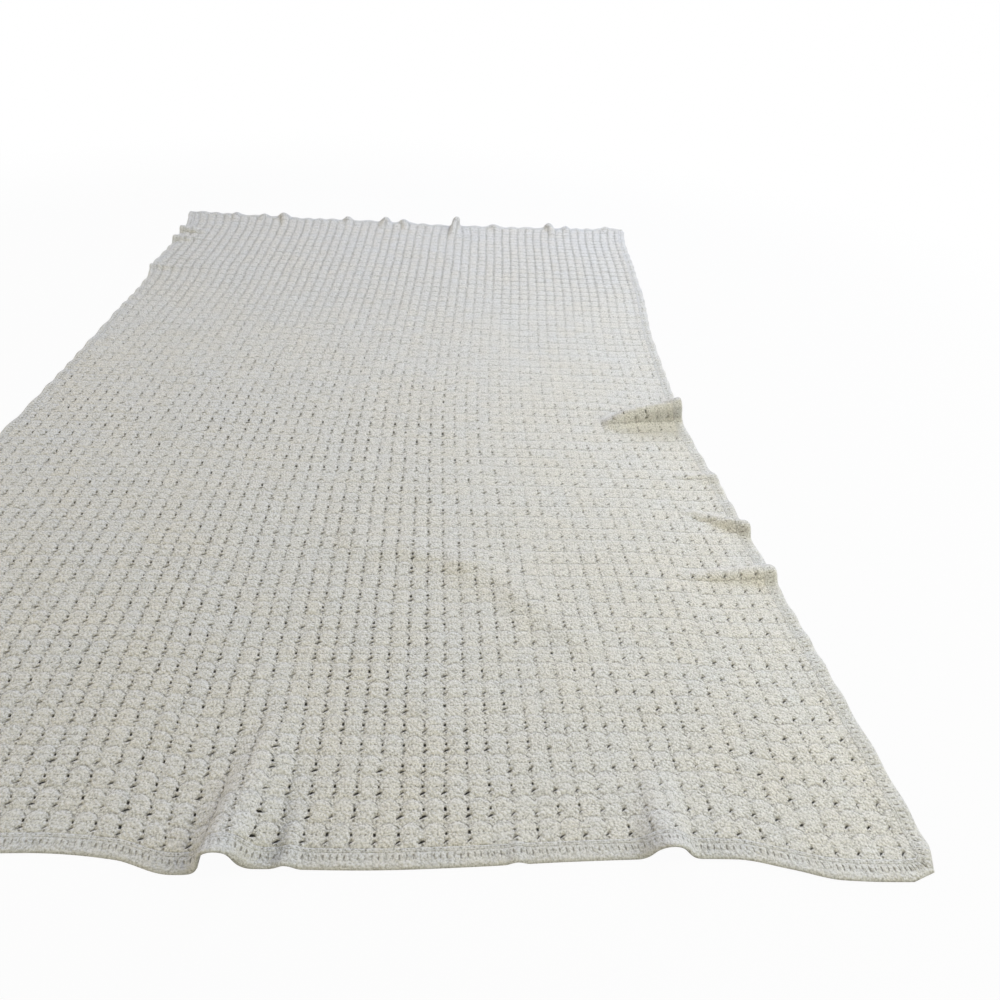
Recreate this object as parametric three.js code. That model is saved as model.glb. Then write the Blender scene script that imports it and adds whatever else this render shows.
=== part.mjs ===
import * as THREE from 'three';

// A crochet throw blanket spread out on a level surface. Millimetres, +Z up.
// The origin is the middle of the blanket on that surface. +Y runs from the near short
// edge to the far one and +X to the right-hand long edge, with the face side up.
// Two solids: the stitched ground, and the edging that is worked round it.

const CLOTH = 4.6; // thickness of the plump stitches
const EDGING = 20; // width of the edging
const SEAM = 0.5; // gap between ground and edging
const CORNER = 34; // reach of the rounding at each corner
const CORNER_PULL = 0.27; // share of that reach by which a corner draws in
const COARSE = 68; // spacing of the mesh lines on the flat cloth
const NEXT_TO_FOLD = 16; // a coarse line closer than this to a fold's own line is left out
const FINEST = 2.5; // least spacing of any two lines
const END_DEPTHS = [42, 70, 100, 130, 165, 200]; // rows that follow the folds of the short edges
const SIDE_DEPTHS = [38, 60, 85, 115, 150, 190]; // points that follow those of the long edges
const BEND_REACH = 60; // distance over which the rows next to a slanted fold straighten
const SETTLE = 5; // power at which a short edge's waviness settles along the blanket
const DRAW = 0.45; // share of the cloth in a fold that its neighbours give up
const DRAW_REACH = 230; // distance over which they give it
const TAPER = 0.6; // share of a fold's cloth that is gone where the fold ends
const SECTION_STEPS = 12; // steps in which a fold's section is summed
const STEP = 0.02; // step for the surface's slopes

const NEAR = -947; // nominal place of the near and far edges, and of the long edges
const FAR = 932;
const LEFT = -640;
const RIGHT = 640;

// The long edges, at stations along the blanket: it is a little waisted.
const LONG_EDGES = [
  { y: -960, left: -656, right: 638 },
  { y: -770, left: -654, right: 625 },
  { y: -570, left: -647, right: 608 },
  { y: -370, left: -630, right: 595 },
  { y: -170, left: -616, right: 576 },
  { y: 30, left: -609, right: 585 },
  { y: 230, left: -606, right: 596 },
  { y: 430, left: -604, right: 621 },
  { y: 530, left: -619, right: 628 },
  { y: 630, left: -617, right: 636 },
  { y: 830, left: -624, right: 649 },
  { y: 950, left: -655, right: 674 },
];

// The short edges, at stations across it.
const SHORT_EDGES = [
  { x: -650, near: -938, far: 942 },
  { x: -450, near: -930, far: 929 },
  { x: -250, near: -926, far: 925 },
  { x: -170, near: -934, far: 927 },
  { x: -120, near: -949, far: 928 },
  { x: -50, near: -945, far: 925 },
  { x: 100, near: -949, far: 921 },
  { x: 270, near: -945, far: 927 },
  { x: 440, near: -946, far: 940 },
  { x: 490, near: -957, far: 945 },
  { x: 535, near: -968, far: 948 },
  { x: 650, near: -972, far: 966 },
];

// Folds that stand up from an edge and fade out inwards. at: where the crest leaves the
// edge. cloth: length of cloth in the fold. steep: slope of its sides in degrees.
// reach: how far it runs in. slant: sideways run of the crest for each mm inwards.
// lean and tuck: how far it leans sideways and inwards for each mm of height.
// hold: power of the fading, higher where a fold keeps its slope until it ends abruptly.
// lines: mesh lines over the fold.
const foldAt = (edge, at, cloth, steep, reach, slant, lean, tuck, hold, lines) =>
  ({ edge, at, cloth, steep, reach, slant, lean, tuck, hold, lines });
const FOLDS = [
  foldAt('near', -79, 108, 80, 210, 0.16, -0.06, 0, 0.6, 11),
  foldAt('near', -10, 36, 38, 80, 0, 0, 0, 2, 5),
  foldAt('near', 205, 28, 30, 60, 0.1, 0, 0, 2, 5),
  foldAt('near', 360, 94, 64, 120, 0, -0.05, 0, 0.6, 9),
  foldAt('right', -549, 62, 54, 145, 0, -0.1, 0, 2, 7),
  foldAt('right', -448, 56, 50, 105, 0.5, -0.15, 0, 2, 7),
  foldAt('right', -322, 44, 32, 90, 0.1, 0, 0, 2, 5),
  foldAt('right', -133, 122, 108, 160, -0.14, -0.1, 0.3, 4, 13),
  foldAt('far', -508, 40, 30, 60, 0, 0, 0, 2, 5),
  foldAt('far', -424, 44, 32, 60, 0, 0, 0, 2, 5),
  foldAt('far', -365, 60, 44, 80, 0.1, 0, 0, 2, 5),
  foldAt('far', -180, 44, 38, 60, 0, 0, 0, 2, 5),
  foldAt('far', -70, 54, 46, 80, 0, 0.1, 0, 2, 7),
  foldAt('far', -12, 48, 42, 70, 0.1, 0, 0, 2, 5),
  foldAt('far', 141, 72, 84, 110, -0.1, 0.15, 0, 2, 9),
  foldAt('far', 260, 46, 36, 60, 0, 0, 0, 2, 5),
  foldAt('far', 426, 54, 50, 90, 0.1, 0, 0, 2, 7),
  foldAt('far', 482, 40, 32, 60, 0, 0, 0, 2, 5),
  foldAt('far', 605, 42, 34, 70, 0, 0, 0, 2, 5),
  foldAt('left', 505, 50, 34, 110, 0.1, 0, 0, 2, 5),
  foldAt('left', 700, 56, 46, 100, 0.1, 0, 0, 2, 5),
  foldAt('left', 768, 56, 52, 90, 0, 0, 0, 2, 5),
];

const SIDE_FOLDS = FOLDS.filter((fold) => fold.edge === 'left' || fold.edge === 'right');

// Height of a smooth curve through a table's rows, at one place along it.
function through(rows, place, key, at) {
  let i = 0;
  while (i < rows.length - 2 && rows[i + 1][place] < at) i += 1;
  const before = rows[Math.max(i - 1, 0)];
  const a = rows[i];
  const b = rows[i + 1];
  const after = rows[Math.min(i + 2, rows.length - 1)];
  const span = b[place] - a[place];
  const t = THREE.MathUtils.clamp((at - a[place]) / span, 0, 1);
  const slopeA = ((b[key] - before[key]) / (b[place] - before[place])) * span;
  const slopeB = ((after[key] - a[key]) / (after[place] - a[place])) * span;
  const rise = b[key] - a[key];
  return a[key] + t * slopeA + t * t * (3 * rise - 2 * slopeA - slopeB)
    + t * t * t * (slopeA + slopeB - 2 * rise);
}

// How a fold takes up cloth at one distance in from its edge: the length of cloth in it,
// the slope of its sides, the width that it stands on, and the width of flat cloth that is
// drawn into it. Inwards, both the length and the slope get less.
function foldSize(fold, inwards) {
  const gone = THREE.MathUtils.clamp(inwards / fold.reach, 0, 1);
  const cloth = fold.cloth * (1 - TAPER * gone);
  const steep = THREE.MathUtils.degToRad(fold.steep) * (1 - gone ** fold.hold);
  const foot = 2 * foldPoint(cloth, steep, cloth / 2).run;
  return { cloth, steep, foot, taken: foot + DRAW * (cloth - foot) };
}

// Point of a fold's section at a length of cloth from its crest. The cloth's slope is
// steep times the sine of its place, once round over the length of cloth in the fold.
function foldPoint(cloth, steep, along) {
  const slope = (s) => -steep * Math.sin((2 * Math.PI * s) / cloth);
  const sum = (from, to, value) => {
    let total = 0;
    for (let i = 0; i < SECTION_STEPS; i += 1) {
      total += value(slope(from + ((to - from) * (i + 0.5)) / SECTION_STEPS));
    }
    return (total * (to - from)) / SECTION_STEPS;
  };
  return { run: sum(0, along, Math.cos), rise: sum(-cloth / 2, along, Math.sin) };
}

// Movement that one fold gives a point: sideways along its edge, up, and inwards.
function foldMove(fold, sideways, inwards) {
  const { cloth, steep, foot, taken } = foldSize(fold, inwards);
  const off = sideways - fold.at - fold.slant * inwards;
  if (Math.abs(off) < taken / 2) {
    const { run, rise } = foldPoint(cloth, steep, (off * cloth) / taken);
    return { slide: run - off + fold.lean * rise, lift: rise, tuck: fold.tuck * rise };
  }
  const left = Math.max(0, 1 - (Math.abs(off) - taken / 2) / DRAW_REACH);
  return { slide: -Math.sign(off) * ((taken - foot) / 2) * left * left, lift: 0, tuck: 0 };
}

// Flat place of a point of the cloth, from its shares of the width and the length.
function flatPlace(u, v) {
  const x0 = THREE.MathUtils.lerp(LEFT, RIGHT, u);
  const y0 = THREE.MathUtils.lerp(NEAR, FAR, v);
  const left = through(LONG_EDGES, 'y', 'left', y0);
  const right = through(LONG_EDGES, 'y', 'right', y0);
  const near = through(SHORT_EDGES, 'x', 'near', x0);
  const far = through(SHORT_EDGES, 'x', 'far', x0);
  const from = {
    left: u * (right - left),
    right: (1 - u) * (right - left),
    near: v * (FAR - NEAR),
    far: (1 - v) * (FAR - NEAR),
  };
  const roundX = Math.max(0, 1 - Math.min(from.left, from.right) / CORNER);
  const roundY = Math.max(0, 1 - Math.min(from.near, from.far) / CORNER);
  const pull = CORNER * CORNER_PULL * roundX * roundY;
  return {
    x: left + from.left + (u < 0.5 ? pull : -pull),
    y: y0 + (near - NEAR) * (1 - v) ** SETTLE + (far - FAR) * v ** SETTLE + (v < 0.5 ? pull : -pull),
    from,
  };
}

// Middle surface of the cloth: the flat place moved by every fold.
function middle(u, v) {
  const { x, y, from } = flatPlace(u, v);
  const point = new THREE.Vector3(x, y, CLOTH / 2);
  for (const fold of FOLDS) {
    const inwards = from[fold.edge];
    if (inwards >= fold.reach) continue;
    const across = fold.edge === 'near' || fold.edge === 'far';
    const inside = fold.edge === 'near' || fold.edge === 'left' ? 1 : -1;
    const { slide, lift, tuck } = foldMove(fold, across ? x : y, inwards);
    point.x += across ? slide : inside * tuck;
    point.y += across ? inside * tuck : slide;
    point.z += lift;
  }
  return point;
}

// The two faces of the cloth at a point, half a thickness to each side of the middle.
function faces(u, v) {
  const du = STEP / (RIGHT - LEFT);
  const dv = STEP / (FAR - NEAR);
  const alongX = middle(u + du, v).sub(middle(u - du, v));
  const alongY = middle(u, v + dv).sub(middle(u, v - dv));
  const up = alongX.cross(alongY).normalize().multiplyScalar(CLOTH / 2);
  const at = middle(u, v);
  return { top: at.clone().add(up), under: at.sub(up) };
}

// Sorted lines over one side: a fold's or the edging's own lines, and coarse ones between.
function spread(start, end, own) {
  const count = Math.round((end - start) / COARSE);
  const coarse = Array.from({ length: count - 1 }, (_, i) => start + ((end - start) * (i + 1)) / count);
  const free = coarse.filter((place) => own.every((line) => Math.abs(line - place) > NEXT_TO_FOLD));
  return [...own, ...free].sort((a, b) => a - b)
    .filter((place, i, all) => i === 0 || place - all[i - 1] > FINEST);
}

// A fold's own mesh lines, evenly over the cloth drawn into it, at one distance inwards.
function foldLines(fold, inwards) {
  const { taken } = foldSize(fold, inwards);
  const crest = fold.at + fold.slant * inwards;
  return Array.from({ length: fold.lines }, (_, i) => crest + taken * (i / (fold.lines - 1) - 0.5));
}

// Shares of the width at which one row of the mesh has its points.
function rowPoints(v) {
  const fromEdge = { near: v * (FAR - NEAR), far: (1 - v) * (FAR - NEAR) };
  const own = [];
  for (const fold of FOLDS) {
    const inwards = fromEdge[fold.edge];
    if (inwards < fold.reach) own.push(...foldLines(fold, Math.max(inwards, EDGING)));
  }
  const y = NEAR + fromEdge.near;
  for (const fold of SIDE_FOLDS) {
    if (Math.abs(y - fold.at) > fold.cloth) continue;
    const depths = SIDE_DEPTHS.filter((depth) => depth < fold.reach + COARSE);
    own.push(...depths.map((depth) => (fold.edge === 'left' ? LEFT + depth : RIGHT - depth)));
  }
  return spread(LEFT + EDGING, RIGHT - EDGING, own)
    .filter((x) => x > LEFT + EDGING + FINEST && x < RIGHT - EDGING - FINEST)
    .map((x) => (x - LEFT) / (RIGHT - LEFT));
}

// A row's share of the length at one place along it: it bends to follow a side fold's slant,
// and comes back to straight past the fold's reach.
function rowShare(row, u) {
  let y = row;
  for (const fold of SIDE_FOLDS) {
    const inwards = (fold.edge === 'left' ? u : 1 - u) * (RIGHT - LEFT);
    const along = Math.min(inwards, Math.max(0, 2 * fold.reach - inwards));
    const near = Math.max(0, Math.abs(row - fold.at) - fold.cloth / 2) / BEND_REACH;
    y += fold.slant * along * Math.max(0, 1 - near);
  }
  return (y - NEAR) / (FAR - NEAR);
}

// A sheet of cloth with a top face, an underside and walls. Every point of it is a pair,
// one on each face.
class Sheet {
  constructor() {
    this.positions = [];
    this.index = [];
  }

  point(u, v) {
    const { top, under } = faces(u, v);
    this.positions.push(...top.toArray(), ...under.toArray());
    return this.positions.length / 3 - 2;
  }

  // A triangle of the top face, counterclockwise, and the one under it.
  triangle(a, b, c) {
    this.index.push(a, b, c, a + 1, c + 1, b + 1);
  }

  // Walls along a run of points that has the sheet on its left. Each piece of wall is split
  // from its first top point, or with turned set from its second, so that two walls which
  // face each other are split alike.
  wall(run, turned = false) {
    for (let i = 0; i < run.length; i += 1) {
      const a = run[i];
      const b = run[(i + 1) % run.length];
      if (turned) this.index.push(a, a + 1, b, b, a + 1, b + 1);
      else this.index.push(a, a + 1, b + 1, a, b + 1, b);
    }
  }

  mesh(name, colour) {
    const geometry = new THREE.BufferGeometry();
    geometry.setAttribute('position', new THREE.Float32BufferAttribute(this.positions, 3));
    geometry.setIndex(this.index);
    geometry.computeVertexNormals();
    const material = new THREE.MeshStandardMaterial({ color: colour, roughness: 0.95, metalness: 0 });
    const mesh = new THREE.Mesh(geometry, material);
    mesh.name = name;
    return mesh;
  }
}

// Rows of the mesh along the blanket, from the near edging to the far one.
const rows = spread(NEAR + EDGING, FAR - EDGING, [
  ...SIDE_FOLDS.flatMap((fold) => foldLines(fold, 0)),
  ...END_DEPTHS.map((depth) => NEAR + depth),
  ...END_DEPTHS.map((depth) => FAR - depth),
]).filter((row) => row > NEAR + EDGING + FINEST && row < FAR - EDGING - FINEST);

// The ground: rows of points, and between two rows a strip of triangles that always takes
// the nearer next point, so that rows may have different numbers of points.
function stitchedGround() {
  const sheet = new Sheet();
  const inU = (EDGING + SEAM) / (RIGHT - LEFT);
  const inV = (EDGING + SEAM) / (FAR - NEAR);
  const strips = [NEAR, ...rows, FAR].map((row) => {
    const v = THREE.MathUtils.clamp((row - NEAR) / (FAR - NEAR), inV, 1 - inV);
    const straight = row === NEAR || row === FAR;
    const shares = [inU, ...rowPoints(straight ? Math.round(v) : v), 1 - inU];
    const at = shares.map((u) => sheet.point(u, straight ? v : rowShare(row, u)));
    return { shares, at };
  });
  for (let i = 1; i < strips.length; i += 1) {
    const low = strips[i - 1];
    const high = strips[i];
    let a = 0;
    let b = 0;
    while (a < low.at.length - 1 || b < high.at.length - 1) {
      const lowNext = low.shares[a + 1] ?? Infinity;
      const highNext = high.shares[b + 1] ?? Infinity;
      if (lowNext <= highNext) {
        sheet.triangle(low.at[a], low.at[a + 1], high.at[b]);
        a += 1;
      } else {
        sheet.triangle(low.at[a], high.at[b + 1], high.at[b]);
        b += 1;
      }
    }
  }
  const first = strips[0].at;
  const last = strips[strips.length - 1].at;
  const between = strips.slice(1, -1);
  sheet.wall([
    ...first,
    ...between.map(({ at }) => at[at.length - 1]),
    ...last.slice().reverse(),
    ...between.map(({ at }) => at[0]).reverse(),
  ]);
  return sheet.mesh('stitched_ground', '#e9e7e1');
}

// The edging: a ring between the outline and the ground, whose points face the ground's.
function edging() {
  const sheet = new Sheet();
  const inU = EDGING / (RIGHT - LEFT);
  const inV = EDGING / (FAR - NEAR);
  const side = (u) => rows.map((row) => ({ row, u }));
  const around = [
    { u: 0, v: 0 },
    ...rowPoints(0).map((u) => ({ u, v: 0 })),
    { u: 1, v: 0 },
    ...side(1).map(({ row, u }) => ({ u, v: rowShare(row, 1 - inU) })),
    { u: 1, v: 1 },
    ...rowPoints(1).reverse().map((u) => ({ u, v: 1 })),
    { u: 0, v: 1 },
    ...side(0).reverse().map(({ row, u }) => ({ u, v: rowShare(row, inU) })),
  ];
  const outer = around.map(({ u, v }) => sheet.point(u, v));
  const inner = around.map(({ u, v }) => sheet.point(
    THREE.MathUtils.clamp(u, inU, 1 - inU),
    THREE.MathUtils.clamp(v, inV, 1 - inV),
  ));
  for (let i = 0; i < around.length; i += 1) {
    const next = (i + 1) % around.length;
    sheet.triangle(outer[i], outer[next], inner[next]);
    sheet.triangle(outer[i], inner[next], inner[i]);
  }
  sheet.wall(outer);
  sheet.wall(inner.slice().reverse(), true);
  return sheet.mesh('edging', '#ece9e2');
}

const blanket = new THREE.Group();
blanket.add(stitchedGround(), edging());

export default blanket;
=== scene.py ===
"""A crocheted throw blanket lying on a floor: a ground of shell stitches with small openings
between its columns, inside a narrow ribbed edging. The cloth rises in folds at its edges.
Lengths are in metres, x across the blanket, y from its near edge to its far one, z up."""
import math

import bpy
import numpy as np
from bpy.props import FloatProperty, FloatVectorProperty, IntProperty, PointerProperty
from bpy.types import Operator, Panel, PropertyGroup
from mathutils import Matrix, Vector


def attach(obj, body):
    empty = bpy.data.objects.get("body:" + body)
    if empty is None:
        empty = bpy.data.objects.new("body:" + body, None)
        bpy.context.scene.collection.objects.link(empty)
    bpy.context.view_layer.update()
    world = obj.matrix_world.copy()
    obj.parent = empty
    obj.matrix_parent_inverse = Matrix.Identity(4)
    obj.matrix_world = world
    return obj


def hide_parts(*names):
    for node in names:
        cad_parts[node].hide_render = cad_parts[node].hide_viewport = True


bl_info = {
    "name": "Crochet Throw Blanket",
    "version": (1, 0, 0),
    "blender": (4, 5, 0),
    "location": "View3D > Sidebar > Blanket",
    "description": "Builds a crocheted blanket from its stitch counts, folds and yarn colours",
    "category": "Add Mesh",
}

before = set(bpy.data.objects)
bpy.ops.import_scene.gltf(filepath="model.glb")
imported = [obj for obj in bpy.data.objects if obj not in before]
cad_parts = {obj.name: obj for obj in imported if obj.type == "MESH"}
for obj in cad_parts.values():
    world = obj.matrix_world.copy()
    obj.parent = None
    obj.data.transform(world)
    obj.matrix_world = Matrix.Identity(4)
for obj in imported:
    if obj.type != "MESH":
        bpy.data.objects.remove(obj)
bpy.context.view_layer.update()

CLOTH = 0.0046  # thickness of the cloth
EDGING = 0.020  # width of the edging
NEAR, FAR = -0.947, 0.932
LEFT, RIGHT = -0.640, 0.640
CORNER, CORNER_PULL = 0.034, 0.27  # size of a rounded corner, and how much it is rounded
DRAW, DRAW_REACH = 0.45, 0.230  # share of a fold's cloth drawn from beside it, and how far
TAPER = 0.6  # share of its cloth that a fold loses on the way in
SETTLE = 5  # how fast the waves of the short edges settle inwards
SECTION_STEPS = 12

LONG_EDGES = (  # y, left edge's x, right edge's x
    (-0.960, -0.656, 0.638),
    (-0.770, -0.654, 0.625),
    (-0.570, -0.647, 0.608),
    (-0.370, -0.630, 0.595),
    (-0.170, -0.616, 0.576),
    (0.030, -0.609, 0.585),
    (0.230, -0.606, 0.596),
    (0.430, -0.604, 0.621),
    (0.530, -0.619, 0.628),
    (0.630, -0.617, 0.636),
    (0.830, -0.624, 0.649),
    (0.950, -0.655, 0.674),
)
COLUMN_EDGES = (  # y, left and right edge's x as the columns lie further in
    (-0.960, -0.660, 0.632),
    (-0.500, -0.640, 0.604),
    (-0.100, -0.615, 0.578),
    (0.300, -0.611, 0.607),
    (0.600, -0.616, 0.635),
    (0.950, -0.637, 0.668),
)
SHORT_EDGES = (  # x, near edge's y, far edge's y
    (-0.650, -0.938, 0.942),
    (-0.450, -0.930, 0.929),
    (-0.250, -0.926, 0.925),
    (-0.170, -0.934, 0.927),
    (-0.120, -0.949, 0.928),
    (-0.050, -0.945, 0.925),
    (0.100, -0.949, 0.921),
    (0.270, -0.945, 0.927),
    (0.440, -0.946, 0.940),
    (0.490, -0.957, 0.945),
    (0.535, -0.968, 0.948),
    (0.650, -0.972, 0.966),
)
# A fold stands up from an edge and fades out inwards. at: where its crest leaves the edge.
# cloth: length of cloth in it. steep: slope of its sides in degrees. reach: how far it runs
# in. slant: sideways run of the crest inwards. lean, tuck: how far it leans sideways and
# inwards, for each metre of height. hold: power of the fading, higher where it ends abruptly.
FOLDS = (  # edge, at, cloth, steep, reach, slant, lean, tuck, hold
    ("near", -0.079, 0.108, 80, 0.210, 0.16, -0.06, 0, 0.6),
    ("near", -0.010, 0.036, 38, 0.080, 0, 0, 0, 2),
    ("near", 0.205, 0.028, 30, 0.060, 0.1, 0, 0, 2),
    ("near", 0.360, 0.094, 64, 0.120, 0, -0.05, 0, 0.6),
    ("right", -0.549, 0.062, 54, 0.145, 0, -0.1, 0, 2),
    ("right", -0.448, 0.056, 50, 0.105, 0.5, -0.15, 0, 2),
    ("right", -0.322, 0.044, 32, 0.090, 0.1, 0, 0, 2),
    ("right", -0.133, 0.122, 108, 0.160, -0.14, -0.1, 0.3, 4),
    ("far", -0.508, 0.040, 30, 0.060, 0, 0, 0, 2),
    ("far", -0.424, 0.044, 32, 0.060, 0, 0, 0, 2),
    ("far", -0.365, 0.060, 44, 0.080, 0.1, 0, 0, 2),
    ("far", -0.180, 0.044, 38, 0.060, 0, 0, 0, 2),
    ("far", -0.070, 0.054, 46, 0.080, 0, 0.1, 0, 2),
    ("far", -0.012, 0.048, 42, 0.070, 0.1, 0, 0, 2),
    ("far", 0.141, 0.072, 84, 0.110, -0.1, 0.15, 0, 2),
    ("far", 0.260, 0.046, 36, 0.060, 0, 0, 0, 2),
    ("far", 0.426, 0.054, 50, 0.090, 0.1, 0, 0, 2),
    ("far", 0.482, 0.040, 32, 0.060, 0, 0, 0, 2),
    ("far", 0.605, 0.042, 34, 0.070, 0, 0, 0, 2),
    ("left", 0.505, 0.050, 34, 0.110, 0.1, 0, 0, 2),
    ("left", 0.700, 0.056, 46, 0.100, 0.1, 0, 0, 2),
    ("left", 0.768, 0.056, 52, 0.090, 0, 0, 0, 2),
)
RIPPLE = 0.0015  # height of the ripples of the long edges and the far one
RIPPLE_REACH = 0.035
# Soft creases of the flat cloth, from a line's start to its end.
CREASES = (  # x and y of the start, x and y of the end, height, width on the right and left
    (-0.035, -0.482, 0.205, -0.540, 0.0058, 0.020, 0.034),
    (0.125, -0.500, 0.330, -0.690, 0.0070, 0.020, 0.034),
    (0.010, 0.240, -0.030, -0.080, 0.0026, 0.018, 0.018),
    (-0.028, -0.060, -0.004, -0.500, 0.0014, 0.018, 0.018),
    (0.300, -0.103, 0.470, -0.092, 0.0026, 0.012, 0.012),
)
# The ground's rows of stitches are closer together near the ends than in the middle.
ROW_PLACES = (  # row, y
    (0, -0.927),
    (13, -0.604),
    (25, -0.295),
    (38, 0.055),
    (53, 0.480),
    (63, 0.750),
    (70, 0.912),
)
# One stitch cell's mesh lines, as shares of its width and length. The openings lie on the
# seam between two columns of shells, at half the width.
WIDTH_LINES = (0, 0.12, 0.24, 0.36, 0.45, 0.55, 0.64, 0.76, 0.88)
LENGTH_LINES = (0, 0.10, 0.18, 0.27, 0.45, 0.59, 0.71, 0.83, 0.93)
LINES = len(WIDTH_LINES)  # a cell has as many each way
WIDTH_UNDER = (0, 3, 4, 5, 6, 9)  # which of these lines the underside has
LENGTH_UNDER = (0, 2, 3, 4, 5, 9)
LINES_UNDER = len(WIDTH_UNDER) - 1
ROUND_LINES = ((4, 5), (4, 5))  # the lines across and along that bound the round opening
DASH_LINES = ((3, 4, 5, 6), (2, 3))  # and the long one
ROUND_PLACE, DASH_PLACE = 0.52, 0.225  # the middles of the openings, along the cell
WAIST = 0.46  # where a shell's low tier ends and its dome starts, along the cell
TOP, UNDER = 0.0008, -0.0021  # heights of the ground's faces over the cloth's middle
DENT = 0.0004  # how far the cloth goes down at an opening
BANDS = 5  # the ground is built in bands of whole rows
GROUND_SEED, EDGING_SEED = 7, 11

# Rows of stitches, from the near edge, over which the looks of the shells change.
ARCH_ROWS = (6, 18)  # on the right, the arches get flatter
MARK_ROWS = (12, 26)  # the small marks beside the openings get fainter
FAR_ROWS = (20, 52)  # the shade under the arches gets softer and wider
GROOVE_ROWS = (36, 56)  # the seams between columns get darker

# Section of the edging, from its seam on the ground round the lip and back underneath.
EDGING_SECTION = (  # share of the width, height over the cloth's middle, share of the ribs
    (0.00, 0.0017, 0),
    (0.10, 0.0023, 0.1),
    (0.20, 0.0013, 0.1),
    (0.30, 0.0023, 0.8),
    (0.43, 0.0025, 1),
    (0.55, 0.0023, 0.9),
    (0.64, 0.0019, 0.5),
    (0.76, 0.0024, 0.25),
    (0.91, 0.0016, 0.15),
    (1.00, 0.0000, 0),
    (0.95, -0.0017, 0),
    (0.45, -0.0021, 0),
    (0.02, -0.0020, 0),
)
RIB = 0.0064  # distance from one rib of the edging to the next
RIB_STEPS = 4
RIB_DEPTH = 0.0013  # depth between two ribs
SEAM_GAP = 0.00005  # gap between the ground and the edging
MITRE = 0.060  # length at a corner over which the ribs turn


def ramp(at, low, high):
    """0 up to low and 1 from high on, with a straight line between."""
    return np.clip((at - low) / (high - low), 0, 1)


def tautness(x_share, y_share):
    """How taut the cloth is, from its place as shares of the ground's width and length: 1 on
    the right, and 0 on the left and at the far end."""
    return ramp(x_share, 0.60, 0.74) * (1 - ramp(y_share, 0.65, 0.80))


def settle(share):
    """How much of an edge's wave is left at a share of the way to that edge."""
    return np.clip(share, 0, 1.1) ** SETTLE


def smooth_through(places, values, at):
    """Cubic through a table's values: at each row the slope is that from the row before to
    the row after, and between rows it is the Hermite cubic of those slopes."""
    low = np.clip(np.searchsorted(places, at) - 1, 0, len(places) - 2)
    before, after = np.maximum(low - 1, 0), np.minimum(low + 2, len(places) - 1)
    span = places[low + 1] - places[low]
    t = np.clip((at - places[low]) / span, 0, 1)
    slope_low = (values[low + 1] - values[before]) / (places[low + 1] - places[before]) * span
    slope_high = (values[after] - values[low]) / (places[after] - places[low]) * span
    rise = values[low + 1] - values[low]
    curve = t * t * (3 * rise - 2 * slope_low - slope_high)
    return values[low] + t * slope_low + curve + t**3 * (slope_low + slope_high - 2 * rise)


def section_sum(start, end, cloth, steep, part):
    """Sum of part(slope) over a fold's section, where the slope is minus steep times the sine
    of the place, once round over the fold's cloth."""
    total = 0
    for step in range(SECTION_STEPS):
        place = start + (end - start) * (step + 0.5) / SECTION_STEPS
        total = total + part(-steep * np.sin(2 * np.pi * place / cloth))
    return total * (end - start) / SECTION_STEPS


def fold_move(fold, side, inwards):
    """Sideways slide, lift and tuck that one fold gives to points, from their place along its
    edge and their distance from it. Inside the fold a point follows the section; beside it
    the flat cloth slides towards the fold, less and less with the square of the distance."""
    _, at, cloth, steep, reach, slant, lean, tuck, hold = fold
    gone = np.clip(inwards / reach, 0, 1)
    cloth = cloth * (1 - TAPER * gone)
    steep = math.radians(steep) * (1 - gone**hold)
    foot = 2 * section_sum(0, cloth / 2, cloth, steep, np.cos)
    taken = foot + DRAW * (cloth - foot)
    off = side - at - slant * inwards
    inside = np.abs(off) < taken / 2
    along = np.where(inside, off, 0) * cloth / taken
    run = section_sum(0, along, cloth, steep, np.cos)
    rise = section_sum(-cloth / 2, along, cloth, steep, np.sin)
    left = np.maximum(0, 1 - (np.abs(off) - taken / 2) / DRAW_REACH)
    beside = -np.sign(off) * (taken - foot) / 2 * left**2
    slide = np.where(inside, run - off + lean * rise, beside)
    lift = np.where(inside, rise, 0)
    return slide, lift, tuck * lift


def crease_lift(x, y):
    """Height of the soft creases: a bell over the distance from each crease's line, which
    wavers a little, fading towards its ends; and a faint waviness of the whole cloth."""
    lift = 0.0004 * (2 + np.sin(x * 31 + 2 * np.sin(y * 9)) + np.sin(y * 37 + 2 * np.sin(x * 13)))
    for x0, y0, x1, y1, height, right, left in CREASES:
        run = np.array([x1 - x0, y1 - y0])
        length = np.hypot(*run)
        along = ((x - x0) * run[0] + (y - y0) * run[1]) / length**2
        off = ((y - y0) * run[0] - (x - x0) * run[1]) / length
        off = off + 0.005 * np.sin(along * 11) + 0.002 * np.sin(along * 29 + x0 * 50)
        fade = np.sin(np.pi * np.clip(along, 0, 1)) ** 0.6
        uneven = 0.8 + 0.2 * np.sin(along * 17 + y0 * 40)
        bell = np.exp(-((off / np.where(off < 0, right, left)) ** 2))
        lift = lift + height * fade * uneven * bell
    return lift


def ripple_lift(x, y, inwards):
    """Height of the ripples along the far edge and the long ones: sines of uneven length that
    fade out inwards."""
    far = np.clip(1 - inwards["far"] / RIPPLE_REACH, 0, 1)
    long = np.clip(1 - np.minimum(inwards["left"], inwards["right"]) / RIPPLE_REACH, 0, 1)
    far_wave = 1 + np.sin(x * 140 + 2 * np.sin(x * 23))
    return RIPPLE * (far * far_wave + long * (1 + np.sin(y * 120 + 2 * np.sin(y * 19))))


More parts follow.
